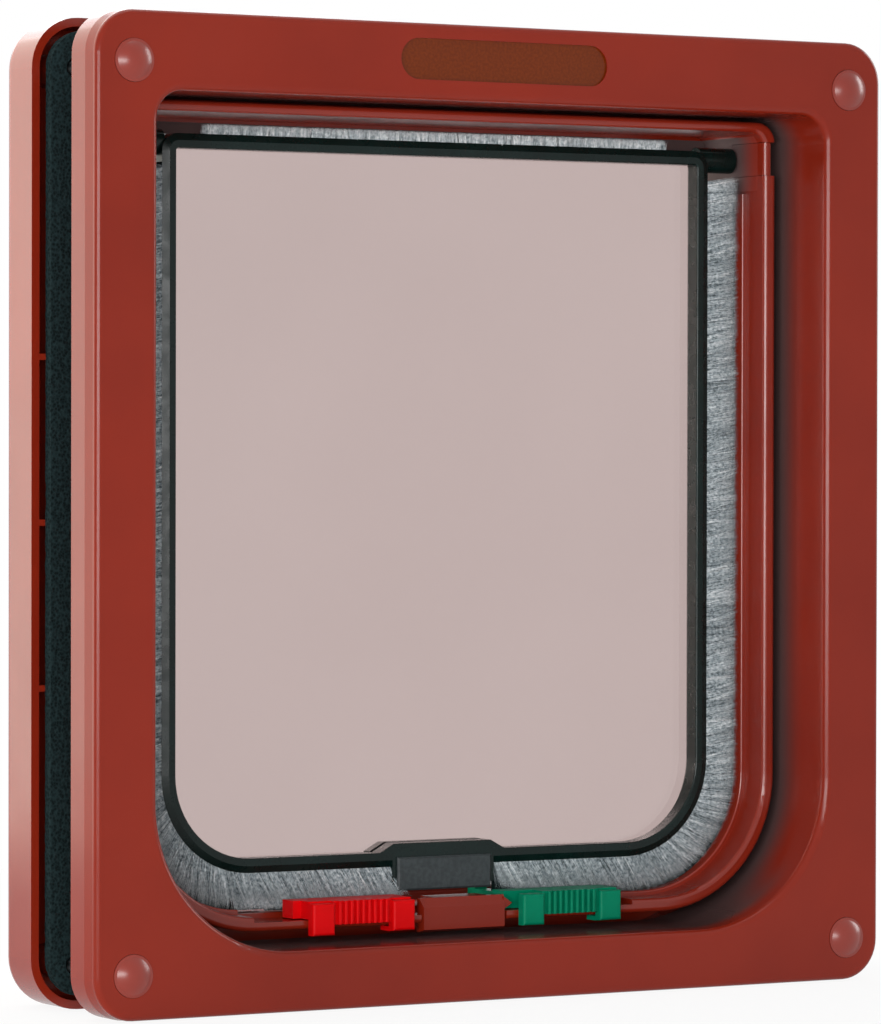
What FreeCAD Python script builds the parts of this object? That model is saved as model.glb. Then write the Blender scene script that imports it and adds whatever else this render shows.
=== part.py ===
import FreeCAD, Part
import math
import os

# Four-way locking cat flap, clamped through a door by four long screws.
# Millimetres. X runs to the right, Y into the door from the room side, Z up.
# The origin is the middle of the footprint, under the two frames.

# Frames, seen from the room
frame_width = 236.0
frame_height = 252.0
bezel_corner_radius = 11.0
bezel_depth = 13.4
bezel_skin = 2.6
bezel_wall = 2.2
door_gap = 22.6
rear_corner_radius = 13.0
rear_depth = 16.0
rear_skin = 2.6
rear_wall = 2.2
rear_edge_radius = 3.6

# Moulded edge of the bezel: rounded lip, fine groove, sloped band, then the plain wall
lip_depth = 1.9
lip_inset = 0.25
lip_radius = 1.5
groove_width = 0.35
groove_inset = 0.9
band_end = 5.9
band_inset = 0.5

# Opening in the bezel and the lining sleeve behind it
opening_side_margin = 17.6
opening_top_margin = 19.9
opening_bottom_margin = 15.6
opening_top_radius = 7.5
opening_bottom_radius = 39.0
opening_edge_radius = 2.0
sleeve_wall = 2.2
sleeve_end_gap = 3.0

# Bare stadium recess above the opening
recess_width = 62.0
recess_height = 10.6
recess_depth = 0.7
recess_rise = 10.4
recess_end_flat = 0.01

# Tunnel of the rear frame, which slides inside the sleeve
tunnel_side_slot = 2.9
tunnel_top_slot = 1.1
tunnel_bottom_slot = 3.4
tunnel_wall = 3.7
tunnel_top_wall = 2.7
tunnel_setback = 20.0
tunnel_top_radius = 5.5
tunnel_inner_top_radius = 3.8
tunnel_bottom_radius = 36.0
tunnel_rim_radius = 1.2
tunnel_mouth_radius = 2.0
header_drop = 4.1
header_corner_radius = 4.5
sill_half = 45.0
sill_depth = 2.6
sill_rise = 2.3
sill_bite = 0.3
sill_radius = 0.8

# Draught ridge on the inside of the tunnel
ridge_height = 1.3
ridge_start = 9.0
ridge_depth = 3.0
ridge_top_margin = 16.3
ridge_bite = 0.3
ridge_edge_radius = 0.5

# Gasket on the door side of the rear frame, and the ribs that carry it
gasket_inset = 3.5
gasket_thickness = 3.4
gasket_clearance = 1.2
seat_rib = 1.6
rib_pitch = 42.0

# Screws, their bosses and the snap caps over the heads
screw_side_margin = 10.7
screw_top_margin = 12.95
screw_bottom_margin = 11.6
screw_radius = 1.9
screw_head_radius = 3.7
screw_head_height = 2.6
screw_head_seat = 6.9
screw_end_cover = 4.4
screw_head_bevel = 0.8
screw_slot_width = 0.9
screw_slot_depth = 1.2
screw_slot_reach = 2.3
screw_tip_gap = 0.5
bezel_boss_radius = 6.3
rear_boss_radius = 4.4
thread_clearance = 0.05
hole_clearance = 0.35
cap_radius = 5.4
cap_rise = 2.0
cap_flange = 0.35
cap_dome_radius = 4.7
cap_seat = 0.8
cap_plug_radius = 4.2
cap_plug_wall = 1.0
cap_plug_length = 3.7
cap_clearance = 0.1

# Flap: stiff tinted panel in a black moulded border
flap_thickness = 10.0
flap_side_gap = 10.7
flap_top_gap = 4.9
flap_bottom_gap = 10.4
border_width = 3.8
border_bottom_radius = 25.8
border_top_radius = 4.5
border_bevel_width = 1.8
border_bevel_depth = 0.8
border_back_radius = 0.8
window_edge_radius = 0.5
window_top_radius = 0.7
panel_thickness = 2.4
panel_setback = 4.5
panel_bite = 1.2
rebate_rim = 1.1

# Hinge at the top of the flap
hinge_drop = 7.1
hinge_setback = 16.0
ear_radius = 3.4
ear_end_gap = 0.9
ear_cheek = 0.6
ear_bite = 1.3
pin_radius = 1.5
pin_clearance = 0.1
pin_bite = 7.8
pin_end_gap = 0.3
pocket_height = 9.0
keeper_clearance = 0.1
keeper_setback = 0.3
keeper_step_width = 1.9
keeper_step_depth = 2.4

# Brush pile around the flap, rooted in a groove of the border
brush_root_depth = 1.2
brush_root_width = 4.0
brush_lip_gap = 0.1
brush_front_fan = 2.2
brush_back_fan = 4.4
brush_wall_gap = 1.6
brush_floor_gap = 3.8
brush_roof_gap = 2.5
brush_corner_radius = 32.0
brush_top_stop = 5.2
brush_top_side_gap = 23.8
brush_lean = 5.0
brush_start_gap = 0.4

# Magnet at the foot of the flap and the raised part of the border round it
magnet_width = 28.4
magnet_height = 8.8
magnet_depth = 11.5
magnet_proud = 1.0
magnet_bevel = 0.5
magnet_rise = 2.5
magnet_side_wall = 1.2
magnet_wall_lift = 1.5
magnet_shoulder = 2.3
magnet_slope = 4.2

# Catch on the flap, which the entry lock stands in front of
catch_gap = 2.8
catch_width = 9.0
catch_depth = 6.0
catch_floor_gap = 0.8
catch_brush_gap = 0.3

# Rail that the two locks slide on, cut into the tunnel's floor
rail_end_gap = 5.25
rail_groove = 1.4
rail_depth = 11.5
arm_slot_depth = 16.0

# Locks: ribbed slides with two lugs, hooked round the rail
lock_centre = 31.6
lock_width = 30.4
lock_travel_entry = 8.0
lock_travel_exit = 5.0
lock_clearance = 0.25
lock_front = 3.0
lock_plate = 1.3
lock_lug_width = 6.6
lock_lug_top_drop = 0.5
lock_lug_bottom = 1.6
lock_lug_step = 0.4
lock_lug_radius = 0.8
lock_body_height = 4.6
lock_body_depth = 9.2
lock_foot = 1.2
lock_foot_depth = 4.0
lock_grip_lift = 2.5
lock_rib_count = 9
lock_rib_width = 0.8
lock_rib_height = 1.1
lock_rib_radius = 0.25
lock_rib_margin = 1.7
tongue_length = 2.4
tongue_depth = 5.6
stop_width = 3.8
stop_depth = 3.6
stop_rise = 2.8
stop_gap = 1.0
stop_side_gap = 0.4
stop_arm_drop = 1.2

# Keeper between the locks, which holds the magnet that centres the flap
keeper_width = 25.7
keeper_plate = 2.6
keeper_front_gap = 0.05
keeper_top_rise = 2.8
keeper_bottom_drop = 2.3
keeper_bevel = 0.6
keeper_slope_height = 2.4
keeper_slope_depth = 1.6
keeper_nib = 2.0
housing_width = 16.4
housing_depth = 6.2
housing_wall = 1.0
magnet_clearance = 0.1

# How far a cutter runs past the face that it cuts, and less where a wall is thin
overrun = 1.0
side_overrun = 0.5

# Places worked out from the sizes above
total_depth = bezel_depth + door_gap + rear_depth
front_y = (cap_rise - total_depth) / 2
bezel_back_y = front_y + bezel_depth
rear_front_y = bezel_back_y + door_gap
back_y = rear_front_y + rear_depth
opening_bottom = opening_bottom_margin
opening_top = frame_height - opening_top_margin
opening_half = frame_width / 2 - opening_side_margin
sleeve_end_y = rear_front_y - sleeve_end_gap
tunnel_front_y = front_y + tunnel_setback
tunnel_half = opening_half - tunnel_side_slot
tunnel_bottom = opening_bottom + tunnel_bottom_slot
tunnel_top = opening_top - tunnel_top_slot
inner_half = tunnel_half - tunnel_wall
inner_bottom = tunnel_bottom + tunnel_wall
inner_top = tunnel_top - tunnel_top_wall
inner_bottom_radius = tunnel_bottom_radius - tunnel_wall
hinge_y = tunnel_front_y + hinge_setback
hinge_z = inner_top - hinge_drop
flap_front_y = hinge_y - flap_thickness / 2
flap_back_y = hinge_y + flap_thickness / 2
border_half = inner_half - flap_side_gap
border_bottom = inner_bottom + flap_bottom_gap
border_top = inner_top - flap_top_gap
window_bottom = border_bottom + border_width
panel_front_y = flap_front_y + panel_setback
panel_back_y = panel_front_y + panel_thickness
lock_left = lock_centre - lock_width / 2
lock_right = lock_centre + lock_width / 2
tongue_tip = -lock_right - tongue_length
catch_right = tongue_tip - catch_gap
catch_left = catch_right - catch_width
rail_left = tongue_tip - lock_travel_entry - rail_end_gap
rail_right = lock_right + rail_end_gap
bevel_y = flap_front_y + border_bevel_depth
brush_root_front = bevel_y
brush_root_back = brush_root_front + brush_root_width
brush_start_right = lock_left + stop_width + stop_side_gap
brush_start_left = magnet_width / 2 + magnet_side_wall + brush_start_gap
rail_top = inner_bottom - rail_groove
rail_bottom = tunnel_bottom
screw_x = frame_width / 2 - screw_side_margin
screw_places = {
    "top_left": (-screw_x, frame_height - screw_top_margin),
    "top_right": (screw_x, frame_height - screw_top_margin),
    "bottom_left": (-screw_x, screw_bottom_margin),
    "bottom_right": (screw_x, screw_bottom_margin),
}
screw_end_y = back_y - screw_end_cover


def vector(x, y, z):
    return FreeCAD.Vector(x, y, z)


def box(x0, x1, y0, y1, z0, z1):
    return Part.makeBox(x1 - x0, y1 - y0, z1 - z0, vector(x0, y0, z0))


def rod(radius, y0, y1, x, z):
    return Part.makeCylinder(radius, y1 - y0, vector(x, y0, z), vector(0, 1, 0))


def mirrored(shape):
    # The same piece on the other side of the middle.
    return shape.mirror(vector(0, 0, 0), vector(1, 0, 0))


def outline(half, bottom, top, bottom_radius, top_radius, y):
    # A closed wire in a plane of constant Y, with rounded corners.
    corners = [
        (half - bottom_radius, bottom + bottom_radius, bottom_radius, -90),
        (half - top_radius, top - top_radius, top_radius, 0),
        (top_radius - half, top - top_radius, top_radius, 90),
        (bottom_radius - half, bottom + bottom_radius, bottom_radius, 180),
    ]
    arcs = []
    for x, z, radius, start in corners:
        points = []
        for turn in (0, 45, 90):
            angle = math.radians(start + turn)
            points.append(vector(x + radius * math.cos(angle), y, z + radius * math.sin(angle)))
        arcs.append(Part.Arc(*points).toShape())
    edges = []
    for arc, following in zip(arcs, arcs[1:] + arcs[:1]):
        edges.append(arc)
        edges.append(Part.makeLine(arc.Vertexes[-1].Point, following.Vertexes[0].Point))
    return Part.Wire(edges)


def prism(half, bottom, top, bottom_radius, top_radius, y0, y1):
    face = Part.Face(outline(half, bottom, top, bottom_radius, top_radius, y0))
    return face.extrude(vector(0, y1 - y0, 0))


def polygon(points, y0, y1):
    # A prism along Y over a closed run of straight lines, given as X and Z.
    corners = [vector(x, y0, z) for x, z in points]
    face = Part.Face(Part.makePolygon(corners + corners[:1]))
    return face.extrude(vector(0, y1 - y0, 0))


def edges_in_plane(shape, y, limit=None):
    # Edges that lie wholly in the plane of Y, inside the limit box of X and Z if one is given.
    found = []
    for edge in shape.Edges:
        bounds = edge.BoundBox
        if abs(bounds.YMin - y) > 0.001 or abs(bounds.YMax - y) > 0.001:
            continue
        if limit is not None:
            half, low, high = limit
            if max(-bounds.XMin, bounds.XMax) > half or bounds.ZMin < low or bounds.ZMax > high:
                continue
        found.append(edge)
    return found


def upright_edges(shape, x, y):
    # Edges that stand along Z at the given place.
    found = []
    for edge in shape.Edges:
        bounds = edge.BoundBox
        if max(abs(bounds.XMin - x), abs(bounds.XMax - x)) > 0.001:
            continue
        if max(abs(bounds.YMin - y), abs(bounds.YMax - y)) > 0.001:
            continue
        found.append(edge)
    return found


def frame_outline(inset, radius, y0, y1):
    corner = radius - inset
    return prism(frame_width / 2 - inset, inset, frame_height - inset, corner, corner, y0, y1)


def sleeve_prism(grow, y0, y1):
    # The opening's outline, grown outward.
    return prism(
        opening_half + grow,
        opening_bottom - grow,
        opening_top + grow,
        opening_bottom_radius + grow,
        opening_top_radius + grow,
        y0,
        y1,
    )


def tunnel_outside(y0, y1):
    return prism(
        tunnel_half, tunnel_bottom, tunnel_top, tunnel_bottom_radius, tunnel_top_radius, y0, y1
    )


def tunnel_inside(inset, y0, y1):
    return prism(
        inner_half - inset,
        inner_bottom + inset,
        inner_top - inset,
        inner_bottom_radius - inset,
        tunnel_inner_top_radius - inset,
        y0,
        y1,
    )


def rib_places(half_length):
    # Evenly spaced ribs about the middle of a side.
    count = int(half_length // rib_pitch)
    return [index * rib_pitch for index in range(-count, count + 1)]


def ribs(thickness, y0, y1):
    # Cross ribs from the outer wall to the lining, on all four sides.
    pieces = []
    half_thickness = thickness / 2
    middle = (opening_bottom + opening_top) / 2
    for x in rib_places(opening_half - opening_bottom_radius):
        for low, high in ((0, opening_bottom), (opening_top, frame_height)):
            pieces.append(box(x - half_thickness, x + half_thickness, y0, y1, low, high))
    for offset in rib_places((opening_top - opening_bottom) / 2 - opening_bottom_radius):
        z = middle + offset
        for side in (-1, 1):
            ends = sorted((side * opening_half, side * frame_width / 2))
            pieces.append(box(ends[0], ends[1], y0, y1, z - half_thickness, z + half_thickness))
    return pieces


def front_frame():
    groove_y = front_y + lip_depth
    band_y = groove_y + groove_width
    wall_y = front_y + band_end
    lip = frame_outline(lip_inset, bezel_corner_radius, front_y, groove_y)
    lip = lip.makeFillet(lip_radius, edges_in_plane(lip, front_y))
    groove = frame_outline(groove_inset, bezel_corner_radius, groove_y, band_y)
    band_corner = bezel_corner_radius - band_inset
    band_half = frame_width / 2 - band_inset
    band_start = outline(
        band_half, band_inset, frame_height - band_inset, band_corner, band_corner, band_y
    )
    band_stop = outline(
        frame_width / 2, 0, frame_height, bezel_corner_radius, bezel_corner_radius, wall_y
    )
    band = Part.makeLoft([band_start, band_stop], True, True)
    wall = frame_outline(0, bezel_corner_radius, wall_y, bezel_back_y)
    body = lip.fuse([groove, band, wall])

    # Hollow behind the skin, left open to the door
    skin_y = front_y + bezel_skin
    hollow = frame_outline(bezel_wall, bezel_corner_radius, skin_y, bezel_back_y)
    hollow = hollow.cut(sleeve_prism(sleeve_wall, skin_y, bezel_back_y))
    stiffeners = ribs(seat_rib, skin_y, bezel_back_y)
    for x, z in screw_places.values():
        stiffeners.append(rod(bezel_boss_radius, skin_y, bezel_back_y, x, z))
    hollow = hollow.cut(stiffeners)
    body = body.cut(hollow)
    body = body.fuse(sleeve_prism(sleeve_wall, skin_y, sleeve_end_y))
    body = body.cut(sleeve_prism(0, front_y - overrun, sleeve_end_y + overrun))
    body = body.removeSplitter()
    mouth = (opening_half + overrun, opening_bottom - overrun, opening_top + overrun)
    body = body.makeFillet(opening_edge_radius, edges_in_plane(body, front_y, mouth))

    # Stadium recess, and a stepped bore for each cap and screw
    recess_z = opening_top + recess_rise
    recess_half = recess_height / 2
    recess = prism(
        recess_width / 2,
        recess_z - recess_half,
        recess_z + recess_half,
        recess_half - recess_end_flat,
        recess_half - recess_end_flat,
        front_y - overrun,
        front_y + recess_depth,
    )
    cuts = [recess]
    for x, z in screw_places.values():
        cuts.append(rod(cap_radius + cap_clearance, front_y - overrun, front_y + cap_seat, x, z))
        bore = cap_plug_radius + cap_clearance
        cuts.append(rod(bore, front_y, front_y + screw_head_seat, x, z))
        cuts.append(rod(screw_radius + hole_clearance, front_y, bezel_back_y + overrun, x, z))
    return body.cut(cuts)


def rail_cuts():
    # The floor of the tunnel is lowered for the locks, and notched for the keeper.
    groove = box(
        rail_left,
        rail_right,
        tunnel_front_y - overrun,
        tunnel_front_y + rail_depth,
        rail_top,
        inner_bottom + lock_body_height,
    )
    arm_slot = box(
        lock_left - lock_travel_exit - stop_gap,
        lock_left + stop_width + stop_gap,
        tunnel_front_y,
        tunnel_front_y + rail_depth + arm_slot_depth,
        rail_top,
        inner_bottom + overrun,
    )
    notch_half = keeper_width / 2 + keeper_clearance
    notch_back = tunnel_front_y + keeper_plate + keeper_clearance
    notch = box(
        -notch_half,
        notch_half,
        tunnel_front_y - overrun,
        notch_back,
        rail_bottom - overrun,
        inner_bottom,
    )
    return [groove, arm_slot, notch]


def hinge_pocket(side, clearance):
    # Slot in the tunnel's side, open to the room, that a pin is laid in from the front.
    ends = sorted((side * (inner_half - side_overrun), side * (tunnel_half + side_overrun)))
    half_height = pocket_height / 2 - clearance
    start = tunnel_front_y - overrun
    return box(ends[0], ends[1], start, hinge_y, hinge_z - half_height, hinge_z + half_height)


def pin_bore(side):
    start = side * (inner_half - side_overrun)
    length = tunnel_wall + 2 * side_overrun
    return Part.makeCylinder(
        pin_radius + pin_clearance, length, vector(start, hinge_y, hinge_z), vector(side, 0, 0)
    )


def draught_ridge():
    # A low lip up both sides and round the bottom, open above the ears and along the locks.
    start = tunnel_front_y + ridge_start
    stop = start + ridge_depth
    before = start - overrun
    after = stop + overrun
    ridge = tunnel_inside(-ridge_bite, start, stop).cut(tunnel_inside(ridge_height, before, after))
    inset = ridge_height / 2
    inner = (inner_half - inset, inner_bottom + inset, inner_top - inset)
    ridge = ridge.makeFillet(ridge_edge_radius, edges_in_plane(ridge, start, inner))
    ridge_top = inner_top - ridge_top_margin
    floor_top = inner_bottom + ridge_height + overrun
    cuts = [
        box(-tunnel_half, tunnel_half, before, after, ridge_top, tunnel_top + overrun),
        box(rail_left, rail_right, before, after, tunnel_bottom, floor_top),
    ]
    return ridge.cut(cuts)


def rear_sill():
    # A low step across the floor inside the rear mouth, under the closed flap.
    stop = back_y - tunnel_mouth_radius
    start = stop - sill_depth
    low = inner_bottom - sill_bite
    step = box(-sill_half, sill_half, start, stop, low, inner_bottom + sill_rise)
    rims = []
    for edge in step.Edges:
        if edge.BoundBox.ZMin > inner_bottom and edge.BoundBox.XLength > sill_half:
            rims.append(edge)
    return step.makeFillet(sill_radius, rims)


def rear_frame():
    body = frame_outline(0, rear_corner_radius, rear_front_y, back_y)
    body = body.makeFillet(rear_edge_radius, edges_in_plane(body, back_y))
    skin_y = back_y - rear_skin
    hollow = frame_outline(rear_wall, rear_corner_radius, rear_front_y, skin_y)
    hollow = hollow.cut(tunnel_outside(rear_front_y, skin_y))
    seat_inner = sleeve_wall + gasket_clearance
    seat_outer = seat_inner + seat_rib
    seat = sleeve_prism(seat_outer, rear_front_y, skin_y)
    seat = seat.cut(sleeve_prism(seat_inner, rear_front_y, skin_y))
    stiffeners = [seat]
    for rib in ribs(seat_rib, rear_front_y, skin_y):
        stiffeners.append(rib.cut(sleeve_prism(seat_inner, rear_front_y, skin_y)))
    for x, z in screw_places.values():
        stiffeners.append(rod(rear_boss_radius, rear_front_y, skin_y, x, z))
    body = body.cut(hollow.cut(stiffeners))

    # Tunnel with a rounded rim towards the room
    tube = tunnel_outside(tunnel_front_y, skin_y)
    tube = tube.cut(tunnel_inside(0, tunnel_front_y - overrun, back_y + overrun))
    tube = tube.makeFillet(tunnel_rim_radius, edges_in_plane(tube, tunnel_front_y))
    body = body.fuse(tube)
    body = body.cut(tunnel_inside(0, tunnel_front_y - overrun, skin_y))

    # The mouth to the outside, with a header that hides the hinge from the weather
    header = prism(
        inner_half,
        inner_bottom,
        inner_top - header_drop,
        inner_bottom_radius,
        header_corner_radius,
        skin_y - overrun,
        back_y + overrun,
    )
    body = body.cut(header).removeSplitter()
    mouth = (inner_half + overrun, inner_bottom - overrun, inner_top + overrun)
    body = body.makeFillet(tunnel_mouth_radius, edges_in_plane(body, back_y, mouth))
    body = body.fuse([draught_ridge(), rear_sill()])
    cuts = rail_cuts()
    for side in (-1, 1):
        cuts.append(hinge_pocket(side, 0))
        cuts.append(pin_bore(side))
    for x, z in screw_places.values():
        thread = screw_radius + thread_clearance
        cuts.append(rod(thread, rear_front_y - overrun, screw_end_y + screw_tip_gap, x, z))
    return body.cut(cuts).removeSplitter()


def foam_gasket():
    start = rear_front_y - gasket_thickness
    ring = frame_outline(gasket_inset, rear_corner_radius, start, rear_front_y)
    hole = sleeve_prism(sleeve_wall + gasket_clearance, start - overrun, rear_front_y + overrun)
    ring = ring.cut(hole)
    holes = []
    for x, z in screw_places.values():
        holes.append(rod(screw_radius + hole_clearance, start - overrun, rear_front_y + overrun, x, z))
    return ring.cut(holes)


def screw(x, z):
    seat_y = front_y + screw_head_seat
    head_y = seat_y - screw_head_height
    head = rod(screw_head_radius, head_y, seat_y, x, z)
    head = head.makeChamfer(screw_head_bevel, edges_in_plane(head, head_y))
    body = head.fuse(rod(screw_radius, seat_y, screw_end_y, x, z))
    half_slot = screw_slot_width / 2
    reach = screw_slot_reach
    open_y = head_y - overrun
    slot_y = head_y + screw_slot_depth
    level = box(x - reach, x + reach, open_y, slot_y, z - half_slot, z + half_slot)
    upright = box(x - half_slot, x + half_slot, open_y, slot_y, z - reach, z + reach)
    return body.cut([level, upright])


def screw_cap(x, z):
    # Domed cap turned about its own axis, with a hollow plug that snaps over the screw head.
    # The dome is part of a sphere.
    top_y = front_y - cap_rise
    shoulder_y = front_y - cap_flange
    height = shoulder_y - top_y
    sphere = (cap_dome_radius ** 2 + height ** 2) / (2 * height)
    half_angle = math.asin(cap_dome_radius / sphere) / 2
    top = vector(0, top_y, 0)
    middle = vector(
        sphere * math.sin(half_angle), top_y + sphere * (1 - math.cos(half_angle)), 0
    )
    foot = vector(cap_dome_radius, shoulder_y, 0)
    dome = Part.Arc(top, middle, foot).toShape()
    plug_y = front_y + cap_plug_length
    seat_y = front_y + cap_seat
    plug_inner = cap_plug_radius - cap_plug_wall
    points = [
        foot,
        vector(cap_radius, shoulder_y + cap_flange / 2, 0),
        vector(cap_radius, seat_y, 0),
        vector(cap_plug_radius, seat_y, 0),
        vector(cap_plug_radius, plug_y, 0),
        vector(plug_inner, plug_y, 0),
        vector(plug_inner, seat_y, 0),
        vector(0, seat_y, 0),
        top,
    ]
    edges = [dome]
    for start, stop in zip(points, points[1:]):
        edges.append(Part.makeLine(start, stop))
    face = Part.Face(Part.Wire(edges))
    cap = face.revolve(vector(0, 0, 0), vector(0, 1, 0), 360)
    return cap.translated(vector(x, 0, z))


def hinge_keeper(side):
    # Fills the pocket in the tunnel's side and closes the bearing round the pin. Its front carries
    # on the tunnel's rounded rim on the inside and steps back on the outside.
    low = hinge_z - pocket_height / 2 + keeper_clearance
    high = hinge_z + pocket_height / 2 - keeper_clearance
    start = tunnel_front_y + keeper_setback
    inner = side * inner_half
    ends = sorted((inner, side * tunnel_half))
    block = box(ends[0], ends[1], start, hinge_y, low, high)
    block = block.makeFillet(tunnel_rim_radius, upright_edges(block, inner, start))
    step = sorted((side * (tunnel_half - keeper_step_width), side * (tunnel_half + overrun)))
    step_cut = box(
        step[0], step[1], start - overrun, start + keeper_step_depth, low - overrun, high + overrun
    )
    return block.cut([step_cut, pin_bore(side)])


def hinge_pin(side):
    outer = tunnel_half - pin_end_gap
    inner = inner_half - ear_end_gap - pin_bite
    start = vector(side * inner, hinge_y, hinge_z)
    return Part.makeCylinder(pin_radius, outer - inner, start, vector(side, 0, 0))


def border_outline(inset, y):
    top_radius = max(border_top_radius - inset, window_top_radius)
    bottom_radius = border_bottom_radius - inset
    low = border_bottom + inset
    return outline(border_half - inset, low, border_top - inset, bottom_radius, top_radius, y)


def border_prism(inset, y0, y1):
    return Part.Face(border_outline(inset, y0)).extrude(vector(0, y1 - y0, 0))


def flap_panel():
    return border_prism(border_width - panel_bite, panel_front_y, panel_back_y)


def panel_rebate():
    # The panel goes in from behind, through a rebate that widens towards the outside.
    seat = border_outline(border_width - panel_bite, panel_back_y)
    return Part.makeLoft([seat, border_outline(rebate_rim, flap_back_y)], True, True)


def magnet_shoulder_prism(y0, y1, low):
    # The raised part of the border's foot over the magnet, from the given height up.
    top = window_bottom + magnet_shoulder
    top_half = magnet_width / 2 + magnet_side_wall / 2
    foot_half = top_half + magnet_slope
    points = [
        (-foot_half, low),
        (foot_half, low),
        (foot_half, window_bottom),
        (top_half, top),
        (-top_half, top),
        (-foot_half, window_bottom),
    ]
    return polygon(points, y0, y1)


def magnet_box(clearance, y0, y1):
    top = border_bottom + magnet_rise
    half = magnet_width / 2 + clearance
    return box(-half, half, y0, y1, top - magnet_height - clearance, top + clearance)


def catch_box(clearance):
    half_depth = catch_depth / 2 + clearance
    return box(
        catch_left - clearance,
        catch_right + clearance,
        hinge_y - half_depth,
        hinge_y + half_depth,
        inner_bottom + catch_floor_gap - clearance,
        border_bottom + border_width / 2,
    )


def brush_outline(y, inner_offset, begin):
    # Closed outline of one side strip: down the side, round the corner and along the bottom.
    # The inner edge lies inner_offset outside the border's edge, and the outer edge near the wall.
    # The foot of the strip begins at the given X.
    outer_half = inner_half - brush_wall_gap
    outer_bottom = inner_bottom + brush_floor_gap
    radius_out = brush_corner_radius
    inner_edge = border_half + inner_offset
    inner_low = border_bottom - inner_offset
    radius_in = border_bottom_radius + inner_offset
    top = hinge_z - brush_top_stop

    def bend(half, low, radius):
        x = half - radius
        z = low + radius
        slant = radius * math.sqrt(0.5)
        return Part.Arc(
            vector(half, y, z), vector(x + slant, y, z - slant), vector(x, y, low)
        ).toShape()

    outer_bend = bend(outer_half, outer_bottom, radius_out)
    inner_bend = bend(inner_edge, inner_low, radius_in)
    outer_start = vector(outer_half, y, top)
    outer_stop = vector(begin, y, outer_bottom)
    inner_start = vector(inner_edge, y, top)
    inner_stop = vector(begin, y, inner_low)
    edges = [
        Part.makeLine(outer_start, outer_bend.Vertexes[0].Point),
        outer_bend,
        Part.makeLine(outer_bend.Vertexes[1].Point, outer_stop),
        Part.makeLine(outer_stop, inner_stop),
        Part.makeLine(inner_stop, inner_bend.Vertexes[1].Point),
        inner_bend,
        Part.makeLine(inner_bend.Vertexes[0].Point, inner_start),
        Part.makeLine(inner_start, outer_start),
    ]
    return Part.Wire(Part.__sortEdges__(edges))


def brush_core(begin):
    # A strip as wide as its groove, from the groove's floor to the tips.
    face = Part.Face(brush_outline(brush_root_front, -brush_root_depth, begin))
    return face.extrude(vector(0, brush_root_width, 0))


def side_brush(side):
    # The pile is narrow where it leaves the groove and fans out towards its tips.
    begin = brush_start_left if side < 0 else brush_start_right
    core = brush_core(begin)
    near = [
        brush_outline(brush_root_front, brush_lip_gap, begin),
        brush_outline(brush_root_front - brush_front_fan, brush_lean, begin),
    ]
    far = [
        brush_outline(brush_root_back, brush_lip_gap, begin),
        brush_outline(brush_root_back + brush_back_fan, brush_lean, begin),
    ]
    fans = [Part.makeLoft(near, True, True), Part.makeLoft(far, True, True)]
    pile = core.fuse(fans).removeSplitter()
    if side < 0:
        pile = mirrored(pile).cut(catch_box(catch_brush_gap))
    return pile


def brush_groove():
    return [brush_core(brush_start_right), mirrored(brush_core(brush_start_left)), top_brush()]


def top_brush():
    half = inner_half - brush_top_side_gap
    low = border_top - brush_root_depth
    high = inner_top - brush_roof_gap
    return box(-half, half, brush_root_front, brush_root_back, low, high)


def flap_border():
    # The front slopes back to the brush groove, and the outer edge behind is rounded.
    ring = border_prism(0, bevel_y, flap_back_y)
    ring = ring.makeFillet(border_back_radius, edges_in_plane(ring, flap_back_y))
    slope = [border_outline(border_bevel_width, flap_front_y), border_outline(0, bevel_y)]
    ring = ring.fuse(Part.makeLoft(slope, True, True))
    window = border_prism(border_width, flap_front_y - overrun, flap_back_y + overrun)
    ring = ring.cut([window, panel_rebate()])

    # Raised shoulder over the magnet, with a thin wall down each side of it
    front_low = window_bottom - side_overrun
    back_low = border_bottom + rebate_rim
    shoulders = [
        magnet_shoulder_prism(flap_front_y, panel_back_y, front_low),
        magnet_shoulder_prism(panel_back_y, flap_back_y, back_low),
    ]
    ring = ring.fuse(shoulders).removeSplitter()
    ring = ring.makeFillet(window_edge_radius, window_edges(ring))
    wall_half = magnet_width / 2 + magnet_side_wall
    wall_bottom = border_bottom + magnet_rise - magnet_height + magnet_wall_lift
    wall_top = border_bottom + border_bevel_width
    walls = box(-wall_half, wall_half, flap_front_y, flap_back_y, wall_bottom, wall_top)
    pieces = [walls, catch_box(0)]
    pieces += [hinge_ear(-1), hinge_ear(1)]
    border = ring.fuse(pieces)
    cuts = [flap_panel(), magnet_box(0, flap_front_y - overrun, flap_back_y + overrun)]
    cuts += brush_groove()
    cuts += [hinge_pin(-1), hinge_pin(1)]
    return border.cut(cuts).removeSplitter()


def window_edges(ring):
    # The window's edges in the border's front face, inside the middle of its flat land.
    inset = (border_width + border_bevel_width) / 2
    limit = (border_half - inset, border_bottom + inset, border_top - inset)
    return edges_in_plane(ring, flap_front_y, limit)


def hinge_ear(side):
    # Arm from the border's top corner out to the tunnel wall, round below and flat on top.
    start = border_half - ear_bite
    stop = inner_half - ear_end_gap
    centre = vector(side * start, hinge_y, hinge_z)
    barrel = Part.makeCylinder(ear_radius, stop - start, centre, vector(side, 0, 0))
    ends = sorted((side * start, side * stop))
    half_depth = ear_radius - ear_cheek
    cheek = box(ends[0], ends[1], hinge_y - half_depth, hinge_y + half_depth, hinge_z, border_top)
    return barrel.fuse(cheek)


def flap_magnet():
    start = flap_front_y - magnet_proud
    block = magnet_box(0, start, start + magnet_depth)
    return block.makeChamfer(magnet_bevel, edges_in_plane(block, start))


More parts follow.
